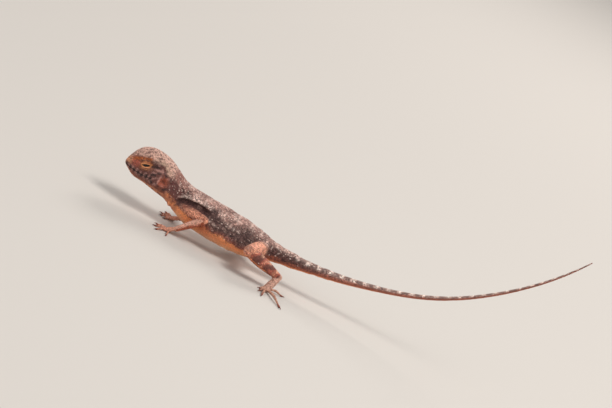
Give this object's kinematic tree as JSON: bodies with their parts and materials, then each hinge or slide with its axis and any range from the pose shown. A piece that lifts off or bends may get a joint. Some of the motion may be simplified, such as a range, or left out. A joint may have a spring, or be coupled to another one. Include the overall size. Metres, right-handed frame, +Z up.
{
  "type": "central netted dragon lizard, still life-size model",
  "caption": "Slim dragon lizard standing alert on four splayed legs with its long thin tail curving up behind; no moving parts.",
  "frame": {"origin": "centre of the underside of the box around the whole animal, on the floor that the feet stand on", "axes": "+Z up, -X the way the snout points, +X along the tail, -Y the animal's left side"},
  "size_m": [0.2106, 0.0776, 0.0818],
  "materials": {
    "hide": "fine dry scales, grey-brown with pale flecks and a dark net, dark on the neck and cheeks",
    "jaw_hide": "dry scales, orange tan at the chin with dark bars on the lips",
    "limb_hide": "dry keeled scales, pinkish tan with dark bars on the hind legs, dark claws",
    "lid": "fine granular skin, pale orange rims",
    "eye": "wet gloss, very dark",
    "eardrum": "thin smooth skin, brick red-brown"
  },
  "bodies": {
    "root": {"head": "hide", "neck": "hide", "torso": "hide", "tail_1": "hide", "tail_2": "hide", "tail_3": "hide", "tail_4": "hide", "tail_5": "hide", "lower_jaw": "jaw_hide", "upper_arm_left": "limb_hide", "upper_arm_right": "limb_hide", "forearm_left": "limb_hide", "forearm_right": "limb_hide", "hand_left": "limb_hide", "hand_right": "limb_hide", "thigh_left": "limb_hide", "thigh_right": "limb_hide", "shin_left": "limb_hide", "shin_right": "limb_hide", "foot_left": "limb_hide", "foot_right": "limb_hide", "upper_eyelid_left": "lid", "upper_eyelid_right": "lid", "lower_eyelid_left": "lid", "lower_eyelid_right": "lid", "eye_left": "eye", "eye_right": "eye", "eardrum_left": "eardrum", "eardrum_right": "eardrum"}
  },
  "joints": []
}
